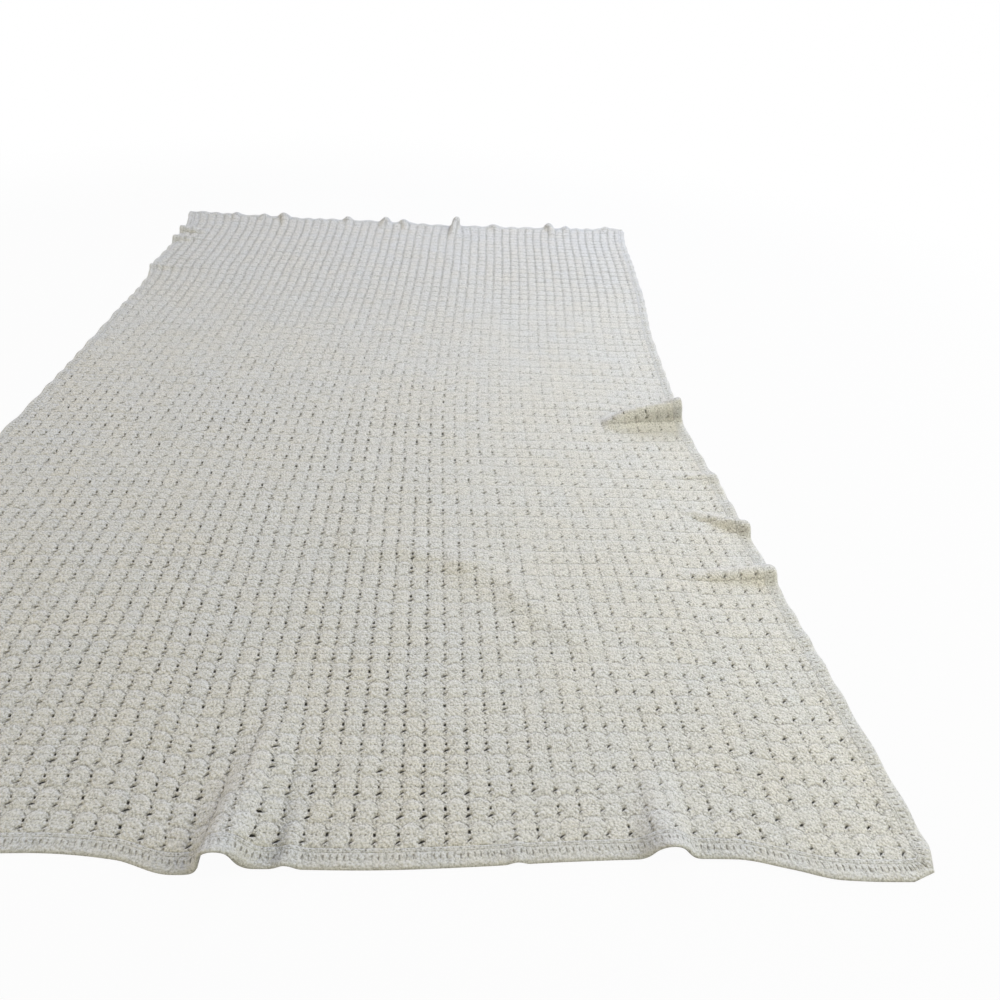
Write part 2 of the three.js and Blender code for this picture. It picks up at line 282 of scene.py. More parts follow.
def middle(u, v):
    """Middle surface of the cloth at shares u of its width and v of its length. The flat
    place lies between the edges of the tables, whose waves settle inwards, with rounded
    corners, and each fold then moves the points within its reach."""
    x0, y0 = LEFT + (RIGHT - LEFT) * u, NEAR + (FAR - NEAR) * v
    y_rows, lefts, rights = np.array(LONG_EDGES).T
    x_rows, nears, fars = np.array(SHORT_EDGES).T
    left, right = smooth_through(y_rows, lefts, y0), smooth_through(y_rows, rights, y0)
    near, far = smooth_through(x_rows, nears, x0), smooth_through(x_rows, fars, x0)
    width, length = right - left, FAR - NEAR
    inwards = {
        "left": u * width,
        "right": (1 - u) * width,
        "near": v * length,
        "far": (1 - v) * length,
    }
    round_x = np.maximum(0, 1 - np.minimum(inwards["left"], inwards["right"]) / CORNER)
    round_y = np.maximum(0, 1 - np.minimum(inwards["near"], inwards["far"]) / CORNER)
    pull = CORNER * CORNER_PULL * round_x * round_y
    y_rows, lefts, rights = np.array(COLUMN_EDGES).T
    column_left = smooth_through(y_rows, lefts, y0)
    column_right = smooth_through(y_rows, rights, y0)
    x = column_left + u * (column_right - column_left) + np.where(u < 0.5, pull, -pull)
    x = x + (left - column_left) * settle(1 - u) + (right - column_right) * settle(u)
    waves = (near - NEAR) * settle(1 - v) + (far - FAR) * settle(v)
    y = y0 + waves + np.where(v < 0.5, pull, -pull)
    place = np.stack([x, y, CLOTH / 2 + crease_lift(x, y) + ripple_lift(x, y, inwards)])
    for fold in FOLDS:
        edge, reach = fold[0], fold[4]
        near_it = inwards[edge] < reach
        across = edge in ("near", "far")
        side = (x if across else y)[near_it]
        slide, lift, tuck = fold_move(fold, side, inwards[edge][near_it])
        inside = 1 if edge in ("near", "left") else -1
        place[0][near_it] += slide if across else inside * tuck
        place[1][near_it] += inside * tuck if across else slide
        place[2][near_it] += lift
    return place


def over_cloth(u, v, height):
    """Points at a height over the middle surface, along the normal from central differences.
    Nothing goes below the floor. Returns an array of points."""
    step = 2e-5
    across = middle(u + step, v) - middle(u - step, v)
    along = middle(u, v + step) - middle(u, v - step)
    normal = np.cross(across, along, axis=0)
    normal /= np.linalg.norm(normal, axis=0)
    place = middle(u, v) + normal * height
    place[2] = np.maximum(place[2], 0)
    return np.moveaxis(place, 0, -1)


def cell_lines(cells, lines):
    """Mesh lines of a row of cells, in cells from the first, with the last cell's end."""
    return np.append((np.arange(cells)[:, None] + np.array(lines)).ravel(), cells)


def in_each_cell(i, j, columns, rows):
    """Index of the point on line i across and line j along in every cell."""
    return np.s_[i : i + LINES * columns : LINES, j : j + LINES * rows : LINES]


def make_piece(name, points, faces, walls, uv, painted_shade, material, joins=None):
    """A closed mesh from its points, lists of smooth faces and of flat walls that have equally
    many corners, and a UV and an amount of painted shade for each point, which darkens the
    yarn's colour there. joins holds a normal for each point that the next piece shares, and 0
    for the others. It rides on the root and is declared as a laid sheet."""
    mesh = bpy.data.meshes.new(name)
    groups = [*faces, *walls]
    corners = np.concatenate([group.ravel() for group in groups])
    counts = np.concatenate([np.full(len(group), group.shape[1]) for group in groups])
    smooth = np.arange(len(counts)) < sum(len(group) for group in faces)
    mesh.vertices.add(len(points))
    mesh.vertices.foreach_set("co", points.astype(np.float32).ravel())
    mesh.loops.add(len(corners))
    mesh.loops.foreach_set("vertex_index", corners.astype(np.int32))
    mesh.polygons.add(len(counts))
    mesh.polygons.foreach_set("loop_start", (np.cumsum(counts) - counts).astype(np.int32))
    mesh.update(calc_edges=True)
    mesh.polygons.foreach_set("use_smooth", smooth)
    layer = mesh.uv_layers.new(name="Stitches")
    layer.data.foreach_set("uv", uv[corners].astype(np.float32).ravel())
    # Each point's painted shade: how far the yarn's colour is darkened there to stand in for
    # shade.
    depth = mesh.attributes.new("painted_shade", "FLOAT", "POINT")
    depth.data.foreach_set("value", painted_shade.astype(np.float32))
    if joins is not None:
        held = joins[corners] * np.repeat(smooth, counts)[:, None]
        mesh.normals_split_custom_set(held.tolist())
    mesh.materials.append(material)
    if mesh.validate():
        raise RuntimeError(f"{name}: the mesh has broken faces")
    piece = bpy.data.objects.new(name, mesh)
    bpy.context.collection.objects.link(piece)
    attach(piece, "root")
    return piece


class Tree:
    """A material's or the world's node tree."""

    def __init__(self, owner):
        owner.use_nodes = True
        self.nodes, self.links = owner.node_tree.nodes, owner.node_tree.links
        self.nodes.clear()

    def add(self, kind, settings=None, inputs=None, output=0):
        """Adds a node of a type, sets its settings and then its sockets, and returns one of
        its outputs."""
        node = self.nodes.new(kind)
        for key, value in (settings or {}).items():
            setattr(node, key, value)
        for key, value in (inputs or {}).items():
            if isinstance(value, Socket):
                self.links.new(value.socket, node.inputs[key])
            else:
                node.inputs[key].default_value = value
        return Socket(self, node.outputs[output]) if len(node.outputs) else None


class Socket:
    """A node's output. Arithmetic on it and on numbers adds Math nodes."""

    def __init__(self, tree, socket):
        self.tree, self.socket = tree, socket

    def math(self, operation, *others):
        values = dict(enumerate((self, *others)))
        return self.tree.add("ShaderNodeMath", {"operation": operation}, values)

    def __add__(self, other):
        return self.math("ADD", other)

    def __sub__(self, other):
        return self.math("SUBTRACT", other)

    def __mul__(self, other):
        return self.math("MULTIPLY", other)

    def __rsub__(self, other):
        return self.tree.add("ShaderNodeMath", {"operation": "SUBTRACT"}, {0: other, 1: self})

    __radd__, __rmul__ = __add__, __mul__

    def between(self, low, high):
        """0 up to low and 1 from high on, with a smooth step between."""
        settings = {"interpolation_type": "SMOOTHSTEP"}
        return self.tree.add("ShaderNodeMapRange", settings, {"Value": self, 1: low, 2: high})

    def mix(self, first, second):
        """first where this is 0 and second where it is 1, for colours."""
        sockets = {0: self, 6: first, 7: second}
        return self.tree.add("ShaderNodeMix", {"data_type": "RGBA"}, sockets, 2)


def parts_of(tree, vector):
    """The three parts of a vector socket."""
    split = tree.add("ShaderNodeSeparateXYZ", None, {0: vector})
    node = split.socket.node
    return [Socket(tree, output) for output in node.outputs]


def linear(colour):
    """Red, green, blue and alpha for a socket."""
    return (*colour, 1)


def yarn_material(name, light, deep, sizes, strands):
    """Soft matt yarn. strands(tree, u, v, wander, sizes) gives the height of the strands,
    from -1 between two strands to 1 on top of one; how dark the marks of painted shade
    between stitches are; and a chance from 0 to 1 for each stitch. Painted shade deepens the
    colour between strands, in the marks and where the piece's painted shade attribute is
    high. It is speckled by the fibres, and drifts between cooler and warmer over the cloth."""
    material = bpy.data.materials.new(name)
    tree = Tree(material)
    place = tree.add("ShaderNodeTexCoord", None, None, "Object")

    def noise(scale, detail=2, roughness=0.5):
        inputs = {"Vector": place, "Scale": scale, "Detail": detail, "Roughness": roughness}
        return tree.add("ShaderNodeTexNoise", None, inputs, "Fac")

    wander = noise(110) - 0.5
    fuzz, grain = noise(230, 6, 0.72), noise(520)
    patches, drift = noise(24), noise(4.5)
    knots = {"Vector": place, "Scale": 330, "Randomness": 1.0}
    loops = tree.add("ShaderNodeTexVoronoi", {"feature": "F1"}, knots, "Distance")
    u, v, _ = parts_of(tree, tree.add("ShaderNodeUVMap", {"uv_map": "Stitches"}))
    strand, marks, chance = strands(tree, u, v, wander, sizes)
    painted_shade = tree.add("ShaderNodeAttribute", {"attribute_name": "painted_shade"}, None, "Fac")
    # Painted shade between two strands.
    groove = (strand * -0.5 + 0.5).between(0.10, 1.0) * (fuzz * 1.6)
    gap = loops.between(0.35, 0.85)
    # Painted shade from the points' attribute: soft where it is low, strong where it is high, as
    # at the far rims of the openings.
    shade = painted_shade.between(0.15, 0.60) * 0.16 + painted_shade.between(0.80, 1.0) * 0.20
    speckle = gap * 0.18 + (0.5 - fuzz) * 1.2 + (0.5 - grain) * 2.1
    # The colour deepens by the painted shade, the marks' painted shade and the fibres' speckle.
    crevice = (shade + groove * 0.04 + marks + speckle).between(-0.25, 1.0)
    warm = (drift * 0.5 + patches * 0.5 + (chance - 0.5) * 0.12).between(0.25, 0.75)
    cool_light = linear([light[0] * 0.983, light[1], light[2] * 1.025])
    warm_light = linear([light[0] * 1.014, light[1] * 0.996, light[2] * 0.955])
    yarn = crevice.mix(warm.mix(cool_light, warm_light), linear(deep))
    relief = strand * 0.09 - loops * 0.8 + (fuzz - 0.5) * sizes.fuzz * 3 - marks
    bump = {"Strength": 1.0, "Distance": sizes.strand_relief, "Height": relief}
    normal = tree.add("ShaderNodeBump", None, bump)
    surface = tree.add(
        "ShaderNodeBsdfPrincipled",
        None,
        {
            "Base Color": yarn,
            "Roughness": 0.92,
            "Specular IOR Level": 0.25,
            "Sheen Weight": 0.25,
            "Sheen Roughness": 0.6,
            "Normal": normal,
        },
    )
    tree.add("ShaderNodeOutputMaterial", None, {"Surface": surface})
    return material


def spot(across, along, across_size, along_size):
    """1 inside an ellipse round 0 and 0, falling softly to 0 outside it."""
    across, along = across * (1 / across_size), along * (1 / along_size)
    return 1 - (across * across + along * along).between(0.3, 1.5)


def line(off, inner, outer):
    """1 within inner of a line and 0 from outer on, from the distance off it."""
    return 1 - off.math("ABSOLUTE").between(inner, outer)


def chance_of(tree, dimensions, inputs):
    """A chance from 0 to 1 for each stitch."""
    return tree.add("ShaderNodeTexWhiteNoise", {"noise_dimensions": dimensions}, inputs, "Value")


def shell_strands(tree, u, v, wander, sizes):
    """Strands of a ground cell. Its far half is a fan of strands round a point in its near
    half, and its near half has strands that slant down to the right. On the seam beside it
    are a small dot of painted shade at the near end and a faint dash of painted shade that
    slants down to the right. A thin painted shade lies under the arch of its far edge, a
    painted shade line with two painted shade pits across its waist, a wide painted shade in
    the seams of the far rows, and a row of painted shade dots on the seams where the cloth is
    taut."""
    cell = tree.add("ShaderNodeCombineXYZ", None, {0: u.math("FLOOR"), 1: v.math("FLOOR")})
    chance = chance_of(tree, "2D", {"Vector": cell})
    taut = (u * (1 / sizes.columns)).between(0.60, 0.76)
    far_off, fewer_marks = v.between(*FAR_ROWS), v.between(*MARK_ROWS)
    s = u.math("FRACT") - 0.5 + wander * 0.14
    t = v.math("FRACT") + wander * 0.14
    turn = (chance - 0.5) * 1.6
    angle = (s * 0.92).math("ARCTAN2", t - 0.20)
    fan = (angle * 15 + turn).math("COSINE")
    slant = ((s * 0.70 + t * 0.76) * 31 + turn).math("COSINE")
    far_half = t.between(0.42, 0.52)
    seam = (u + 0.5).math("FRACT") - 0.5 + wander * 0.08
    strand = fan * far_half + slant * (1 - far_half)
    strand = strand * (1 - line(seam, 0.02, 0.14) * fewer_marks)

    # Dots, dashes and pits of painted shade where the cloth sinks between stitches.
    dot = spot(seam - 0.015, t - 0.07, 0.055, 0.045)
    dash_side, dash_end = (seam + 0.06) * 0.7, (t - 0.78) * 0.75
    dash = spot(dash_side - dash_end, dash_side + dash_end, 0.11, 0.035)
    pits = spot(s.math("ABSOLUTE") - 0.11, t - 0.50, 0.045, 0.035)
    small = (dot * 0.6 + dash * (0.30 + chance * 0.30)) * (1 - fewer_marks * 0.8) + pits * 0.25
    flat = taut * (0.4 + v.between(*ARCH_ROWS) * 0.6)
    off_arch = (v + 0.515 + wander * 0.14).math("FRACT") - 0.5 + s * s * (1.28 - flat * 1.09)
    arch = line(off_arch, 0.01, 0.07) * (0.20 + taut * 0.04 - far_off * 0.12)
    arch_shade = line(off_arch, 0.02, 0.24) * far_off * 0.13
    # A thin line of painted shade along the waist's dip.
    waist = line(t - 0.49, 0, 0.035) * (0.12 - taut * 0.03)
    groove = line(seam + wander * 0.25, 0.02, 0.26) * v.between(*GROOVE_ROWS) * 0.20
    bead = (v * (8 * math.pi)).math("COSINE").between(0.1, 0.9)
    # Dots of painted shade on the seams where the cloth is taut.
    seam_dot_shade = line(seam, 0.03, 0.08) * bead * taut * 0.12
    # All these marks are painted shade, which deepens the colour; the bump also sinks by them.
    marks = small * (1 - taut * 0.2) * (1 - far_off * 0.5) + arch + arch_shade
    return strand, marks + waist + groove + seam_dot_shade, chance


def edging_strands(tree, u, v, wander, sizes):
    """Strands of the edging: one for each rib as far as the lip, and marks of painted shade: a
    short dark dash between two ribs, small dots and a thin line along the chain beside the ground."""
    wide = u + wander * 0.35
    strand = (wide * (2 * math.pi)).math("COSINE") * -1 * (1 - v.between(0.50, 0.66))
    between = wide.math("FRACT") - 0.5
    chance = chance_of(tree, "1D", {"W": wide.math("FLOOR")})
    # Marks of painted shade between the ribs and along the chain.
    dash = spot(between, v - 0.44, 0.14, 0.13)
    dot = spot(between, v - 0.10, 0.16, 0.035)
    chain = line(v - 0.20, 0, 0.035)
    return strand, dash * (0.35 + chance * 0.35) + dot * 0.35 + chain * 0.25, chance


class BlanketSizes(PropertyGroup):
    columns: IntProperty(
        name="Columns", description="Stitch cells across the ground", default=54, min=1
    )
    rows: IntProperty(
        name="Rows", description="Stitch cells along the ground", default=70, min=BANDS
    )
    shell_height: FloatProperty(
        name="Shell height",
        description="How far a shell stands over the seams round it",
        default=0.0030,
        unit="LENGTH",
    )
    seam_depth: FloatProperty(
        name="Seam depth",
        description="Share of the shells' height that is lost at the seam between two columns",
        default=0.42,
    )
    strand_relief: FloatProperty(
        name="Strand relief",
        description="Depth between two strands of yarn",
        default=0.0015,
        unit="LENGTH",
    )
    fuzz: FloatProperty(
        name="Fuzz", description="Share of the relief that is loose fibre", default=0.35
    )
    opening: FloatProperty(
        name="Opening", description="Size of the openings, 1 being as made", default=1.0
    )


class BlanketColours(PropertyGroup):
    ground: FloatVectorProperty(
        name="Ground yarn",
        description="Yarn of the shell stitches",
        subtype="COLOR",
        default=(0.724, 0.710, 0.672),
    )
    edging: FloatVectorProperty(
        name="Edging yarn",
        description="Yarn of the edging",
        subtype="COLOR",
        default=(0.682, 0.676, 0.653),
    )
    # The colour that painted shade takes the yarn to, in crevices, marks and openings.
    deep: FloatVectorProperty(
        name="Crevices",
        description="Yarn deep between the stitches",
        subtype="COLOR",
        default=(0.27, 0.26, 0.225),
    )
    floor: FloatVectorProperty(
        name="Floor", description="Plain floor", subtype="COLOR", default=(0.45, 0.45, 0.45)
    )
    window: FloatProperty(
        name="Window light",
        description="Power of the cool lamp behind",
        default=77,
        unit="POWER",
    )
    side: FloatProperty(
        name="Side light",
        description="Power of the warm lamp on the left",
        default=63,
        unit="POWER",
    )
    ceiling: FloatProperty(
        name="Ceiling light",
        description="Power of the lamp on the right",
        default=35,
        unit="POWER",
    )
    fill: FloatProperty(
        name="Fill light",
        description="Power of the warm lamp in front",
        default=20,
        unit="POWER",
    )
    room: FloatProperty(
        name="Room light", description="Strength of the light all round", default=0.26
    )


class BLANKET_OT_ground(Operator):
    """Build the ground of shell stitches, with its openings, in bands of whole rows"""

    bl_idname = "blanket.ground"
    bl_label = "Stitched Ground"

    def execute(self, context):
        sizes, colours = context.scene.blanket_sizes, context.scene.blanket_colours
        material = yarn_material("ground_yarn", colours.ground, colours.deep, sizes, shell_strands)
        columns, rows = sizes.columns, sizes.rows
        random = np.random.default_rng(GROUND_SEED)
        lump = 1 + random.uniform(-0.16, 0.16, (columns + 1, rows + 1))
        round_open, dash_open, round_size, dash_size = self.draw_openings(random, sizes)
        shift = random.normal(0, 0.015, (2, columns, rows))
        corner_moves = random.normal(0, 0.045, (2, columns + 1, rows + 1))

        across, along = np.meshgrid(
            cell_lines(columns, WIDTH_LINES), cell_lines(rows, LENGTH_LINES), indexing="ij"
        )
        taut = tautness(across / columns, along / rows)
        from_near = 0.92 - 0.74 * ramp(along / rows, 0.16, 0.32)
        from_near += ramp(along / rows, 0.42, 0.70) ** 2
        seam = sizes.seam_depth * (1 - 0.85 * taut) * from_near
        self.shape_openings(across, along, round_size, dash_size, shift)
        height = sizes.shell_height * (1 - 0.38 * taut)
        bend = 0.32 * (1 - 0.85 * taut * ramp(along / rows, -0.12, 0.20))
        top_height, top_painted_shade = self.shell_height(across, along, lump, seam, height, bend)
        self.waver(across, along, corner_moves)
        self.dent(top_height, top_painted_shade, round_open, dash_open)
        under_lines = np.ix_(
            self.under_lines(columns, WIDTH_UNDER), self.under_lines(rows, LENGTH_UNDER)
        )
        under_across, under_along = across[under_lines], along[under_lines]
        off_middle = np.abs(under_across - np.round(under_across))
        under_height = UNDER - 0.0002 * (1 - 2 * off_middle)

        top = self.on_cloth(across, along, top_height, columns)
        normals = np.cross(np.gradient(top, axis=0), np.gradient(top, axis=1))
        normals /= np.linalg.norm(normals, axis=-1, keepdims=True)
        under = self.on_cloth(under_across, under_along, under_height, columns)
        top_uv = np.stack([across - 0.5, along], -1)
        under_uv = np.stack([under_across - 0.5, under_along], -1)
        edges = np.linspace(0, rows, BANDS + 1).round().astype(int)
        for number, (start, end) in enumerate(zip(edges[:-1], edges[1:]), 1):
            top_rows = slice(start * LINES, end * LINES + 1)
            under_rows = slice(start * LINES_UNDER, end * LINES_UNDER + 1)
            faces, walls = self.band_faces(
                columns, end - start, round_open[:, start:end], dash_open[:, start:end]
            )
            band_top, band_under = top[:, top_rows], under[:, under_rows]
            uv = [top_uv[:, top_rows].reshape(-1, 2), under_uv[:, under_rows].reshape(-1, 2)]
            # The whole underside gets full painted shade.
            under_painted_shade = np.ones(band_under.shape[0] * band_under.shape[1])
            joins = np.zeros_like(band_top)
            joins[:, [0, -1]] = normals[:, top_rows][:, [0, -1]]
            joins = np.concatenate([joins.reshape(-1, 3), np.zeros((len(under_painted_shade), 3))])
            piece = make_piece(
                f"ground_band_{number}",
                np.concatenate([band_top.reshape(-1, 3), band_under.reshape(-1, 3)]),
                faces,
                walls,
                np.concatenate(uv),
                np.concatenate([top_painted_shade[:, top_rows].ravel(), under_painted_shade]),
                material,
                joins,
            )
            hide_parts("stitched_ground")
        return {"FINISHED"}

    def under_lines(self, cells, lines):
        """The mesh lines of the top that the underside has too, through a row of cells."""
        in_cells = np.arange(cells)[:, None] * LINES + np.array(lines[:-1])
        return np.append(in_cells.ravel(), cells * LINES)

    def draw_openings(self, random, sizes):
        """Which cells have a round opening and which a long one, and the sizes of both. Where
        the cloth is taut, fewer round ones are open, and all are smaller. Towards the far end
        they are at first a little larger, then fewer and smaller."""
        cells = (sizes.columns, sizes.rows)
        x_share = (np.arange(sizes.columns)[:, None] + 0.5) / sizes.columns
        y_share = (np.arange(sizes.rows)[None, :] + 0.5) / sizes.rows
        taut = tautness(x_share, y_share)
        mid_off, far_off = ramp(y_share, 0.22, 0.42), ramp(y_share, 0.42, 0.70)
        round_share = (0.92 - 0.65 * taut) * (1 - 0.15 * mid_off - 0.50 * far_off)
        round_open = random.random(cells) < round_share
        dash_open = random.random(cells) < 0.95 - 0.5 * far_off
        scale = (1 - 0.5 * far_off) * sizes.opening
        round_size = random.uniform(0.6, 1.1, cells) * (1 - 0.2 * taut) * (1 + 0.25 * mid_off)
        dash_size = random.uniform(0.62, 1.15, cells) * (1 - 0.3 * taut) * (1 + 0.15 * mid_off)
        return round_open, dash_open, round_size * scale, dash_size * scale

    def shape_openings(self, across, along, round_size, dash_size, shift):
        """Moves the mesh lines round each opening. The round one's corners go in or out from
        its middle. The long one is a lens that slants up to the right."""
        columns, rows = round_size.shape
        for i in ROUND_LINES[0]:
            for j in ROUND_LINES[1]:
                corner = in_each_cell(i, j, columns, rows)
                side, end = WIDTH_LINES[i] - 0.5, LENGTH_LINES[j] - ROUND_PLACE
                across[corner] += side * (round_size * 1.3 - 1) + shift[0]
                along[corner] += end * (round_size * 1.15 - 1) + shift[1]
        for i in DASH_LINES[0]:
            for j in DASH_LINES[1]:
                corner = in_each_cell(i, j, columns, rows)
                side, end = WIDTH_LINES[i] - 0.5, LENGTH_LINES[j] - DASH_PLACE
                lens = 1 - 0.60 * (side / 0.14) ** 2 - 1.6 * side
                across[corner] += side * (dash_size * 1.1 - 1) + shift[0]
                bend = 0.40 * side - 2.0 * side**2
                along[corner] += end * (dash_size * lens * 1.45 - 1) + bend + shift[1]

    def waver(self, across, along, corner_moves):
        """Moves every point by the moves of its cell's four corners, weighted by how near
        each is. The outermost lines stay."""
        for moves in corner_moves:
            moves[[0, -1]] = 0
            moves[:, [0, -1]] = 0
        columns, rows = corner_moves.shape[1] - 1, corner_moves.shape[2] - 1
        c = np.clip(across.astype(int), 0, columns - 1)
        r = np.clip(along.astype(int), 0, rows - 1)
        s, t = across - c, along - r
        weights = ((1 - s) * (1 - t), s * (1 - t), (1 - s) * t, s * t)
        corners = ((c, r), (c + 1, r), (c, r + 1), (c + 1, r + 1))
        move = sum(w * corner_moves[:, i, j] for w, (i, j) in zip(weights, corners))
        across += move[0]
        along += move[1]

    def shell_height(self, across, along, lump, seam, height, bend):
        """Height of the top face and its painted shade, which is deeper where the face is lower.
        Across a column it is a rounded lump between two seams, each as deep as the share of the
        height that seam holds. Along a row there are two tiers, a low one and then a higher dome
        whose far edge is an arch that drops at the seams by the share of the row that bend holds."""
        column = np.round(across)
        row = np.clip(np.floor(along + 1e-9), 0, lump.shape[1] - 1)
        side = np.abs(across - column) * 2
        t = along - row
        lump_here = lump[column.astype(int), row.astype(int)]
        arch = 0.98 - bend * side**2
        crown = ramp(t, WAIST, arch) ** 1.2
        foot = ramp(t, 0, WAIST)
        dome = 1 - np.abs(2 * crown - 1) ** 2.2
        tier = 0.78 * (1 - np.abs(2 * foot - 1) ** 2.4)
        waist = 0.52 * np.exp(-(((t - WAIST) / 0.10) ** 2))
        profile = np.maximum(np.where(t > WAIST, dome, tier), waist)
        full = (0.30 + 0.70 * profile) * (1 - seam * side**2)
        return TOP + height * full * lump_here, 0.6 * (1 - full)

    def dent(self, height, painted_shade, round_open, dash_open):
        """Lowers the cloth at each opening and paints shade round it: full painted shade on the
        far side of an open one, and light painted shade on its other sides and round a closed one.
        """
        columns, rows = round_open.shape
        for is_open, (lines_i, lines_j) in ((round_open, ROUND_LINES), (dash_open, DASH_LINES)):
            for i in lines_i:
                for j in lines_j:
                    at = in_each_cell(i, j, columns, rows)
                    height[at] -= DENT
                    painted_shade[at] = np.where(is_open & (j == lines_j[1]), 1, 0.4)

    def on_cloth(self, across, along, height, columns):
        """Points at a height over the cloth, from their place in columns and rows."""
        row_numbers, row_y = np.array(ROW_PLACES).T
        y = smooth_through(row_numbers, row_y, along)
        edge = EDGING / (RIGHT - LEFT)
        u = edge + (1 - 2 * edge) * across / columns
        return over_cloth(u, (y - NEAR) / (FAR - NEAR), height)

    def band_faces(self, columns, rows, round_open, dash_open):
        """Faces of a band: both faces of the cloth without the openings, the walls of the
        openings, and the outer walls, whose lower side has fewer points than the upper."""
        wide, long = columns * LINES, rows * LINES
        top = np.arange((wide + 1) * (long + 1)).reshape(wide + 1, long + 1)
        under_wide, under_long = columns * LINES_UNDER, rows * LINES_UNDER
        under = top.size + np.arange((under_wide + 1) * (under_long + 1))
        under = under.reshape(under_wide + 1, under_long + 1)

        def face_quads(grid, keep):
            quads = np.stack([grid[:-1, :-1], grid[1:, :-1], grid[1:, 1:], grid[:-1, 1:]], -1)
            return quads[keep]

        top_keep = np.ones((wide, long), dtype=bool)
        under_keep = np.ones((under_wide, under_long), dtype=bool)
        opening_walls = []
        for is_open, (lines_i, lines_j) in ((round_open, ROUND_LINES), (dash_open, DASH_LINES)):
            under_i = [WIDTH_UNDER.index(i) for i in lines_i]
            under_j = [LENGTH_UNDER.index(j) for j in lines_j]
            for i, below in zip(lines_i[:-1], under_i):
                top_keep[i::LINES, lines_j[0] :: LINES] = ~is_open
                under_keep[below::LINES_UNDER, under_j[0] :: LINES_UNDER] = ~is_open
            c, r = (cell[:, None] for cell in np.nonzero(is_open))
            rim = top[c * LINES + self.loop(lines_i), r * LINES + np.repeat(lines_j, len(lines_i))]
            foot = under[
                c * LINES_UNDER + self.loop(under_i),
                r * LINES_UNDER + np.repeat(under_j, len(under_i)),
            ]
            wall = np.stack([rim, np.roll(rim, -1, 1), np.roll(foot, -1, 1), foot], -1)
            opening_walls.append(wall.reshape(-1, 4))
        faces = [face_quads(top, top_keep), face_quads(under, under_keep)[:, ::-1], *opening_walls]

        sides = (
            (top[:, 0], under[:, 0], WIDTH_UNDER, columns, False),
            (top[:, -1], under[:, -1], WIDTH_UNDER, columns, True),
            (top[0], under[0], LENGTH_UNDER, rows, True),
            (top[-1], under[-1], LENGTH_UNDER, rows, False),
        )
        walls = []
        for upper, lower, lines, cells, turned in sides:
            cell = np.arange(cells)[:, None]
            for k, (first, last) in enumerate(zip(lines[:-1], lines[1:])):
                up = upper[cell * LINES + np.arange(last, first - 1, -1)]
                down = lower[cell * LINES_UNDER + np.array([k, k + 1])]
                wall = np.concatenate([down, up], 1)
                walls.append(wall[:, ::-1] if turned else wall)
        return faces, walls

    def loop(self, lines_i):
        """Lines across at an opening's points, along its near side and back along its far one."""
        return np.array([*lines_i, *reversed(lines_i)])


class BLANKET_OT_edging(Operator):
    """Build the ribbed edging as one closed ring round the ground"""

    bl_idname = "blanket.edging"
    bl_label = "Edging"

    def execute(self, context):
        sizes, colours = context.scene.blanket_sizes, context.scene.blanket_colours
        material = yarn_material(
            "edging_yarn", colours.edging, colours.deep, sizes, edging_strands
        )
        random = np.random.default_rng(EDGING_SEED)
        width, length = RIGHT - LEFT, FAR - NEAR
        share, height, ribbed = np.array(EDGING_SECTION).T
        stations_u, stations_v, phases = [], [], []
        for side, size in enumerate((width, length, width, length)):
            ribs = round(size / RIB)
            count = ribs * RIB_STEPS
            at = (np.arange(count) / count * size)[:, None]
            inset = (share * (EDGING - SEAM_GAP) + SEAM_GAP)[None, :]
            turn_start = np.clip(1 - at / MITRE, 0, 1) ** 2
            turn_end = np.clip(1 - (size - at) / MITRE, 0, 1) ** 2
            outwards = EDGING - inset
            run = (at + outwards * (turn_start - turn_end)) / size
            other = outwards / (length if side % 2 == 0 else width) + 0 * at
            u, v = ((run, other), (1 - other, run), (1 - run, 1 - other), (other, 1 - run))[side]
            stations_u.append(u)
            stations_v.append(v)
            phases.append(np.arange(count) / RIB_STEPS)
        u, v = np.concatenate(stations_u), np.concatenate(stations_v)
        rib = np.concatenate(phases)[:, None]
        stations, points = u.shape
        uneven = np.repeat(random.uniform(0.6, 1.2, (stations // RIB_STEPS, 1)), RIB_STEPS, 0)
        wave = (0.5 - 0.5 * np.cos(2 * np.pi * rib)) * uneven
        relief = height - RIB_DEPTH * ribbed * wave
        places = over_cloth(u, v, relief)
        # Painted shade in the grooves between the ribs and on the underside.
        painted_shade = np.clip(ribbed * wave * 0.5 + np.where(height < 0.0, 0.5, 0) + 0 * u, 0, 1)
        ring = np.arange(stations * points).reshape(stations, points)
        after, beside = np.roll(ring, -1, 0), np.roll(ring, -1, 1)
        quads = np.stack([ring, beside, np.roll(beside, -1, 0), after], -1).reshape(-1, 4)
        uv = np.stack([rib + 0 * u, share[None, :] + 0 * u], -1).reshape(-1, 2)
        piece = make_piece(
            "edging_ring",
            places.reshape(-1, 3),
            [quads],
            [],
            uv,
            painted_shade.ravel(),
            material,
        )
        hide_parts("edging")
        return {"FINISHED"}


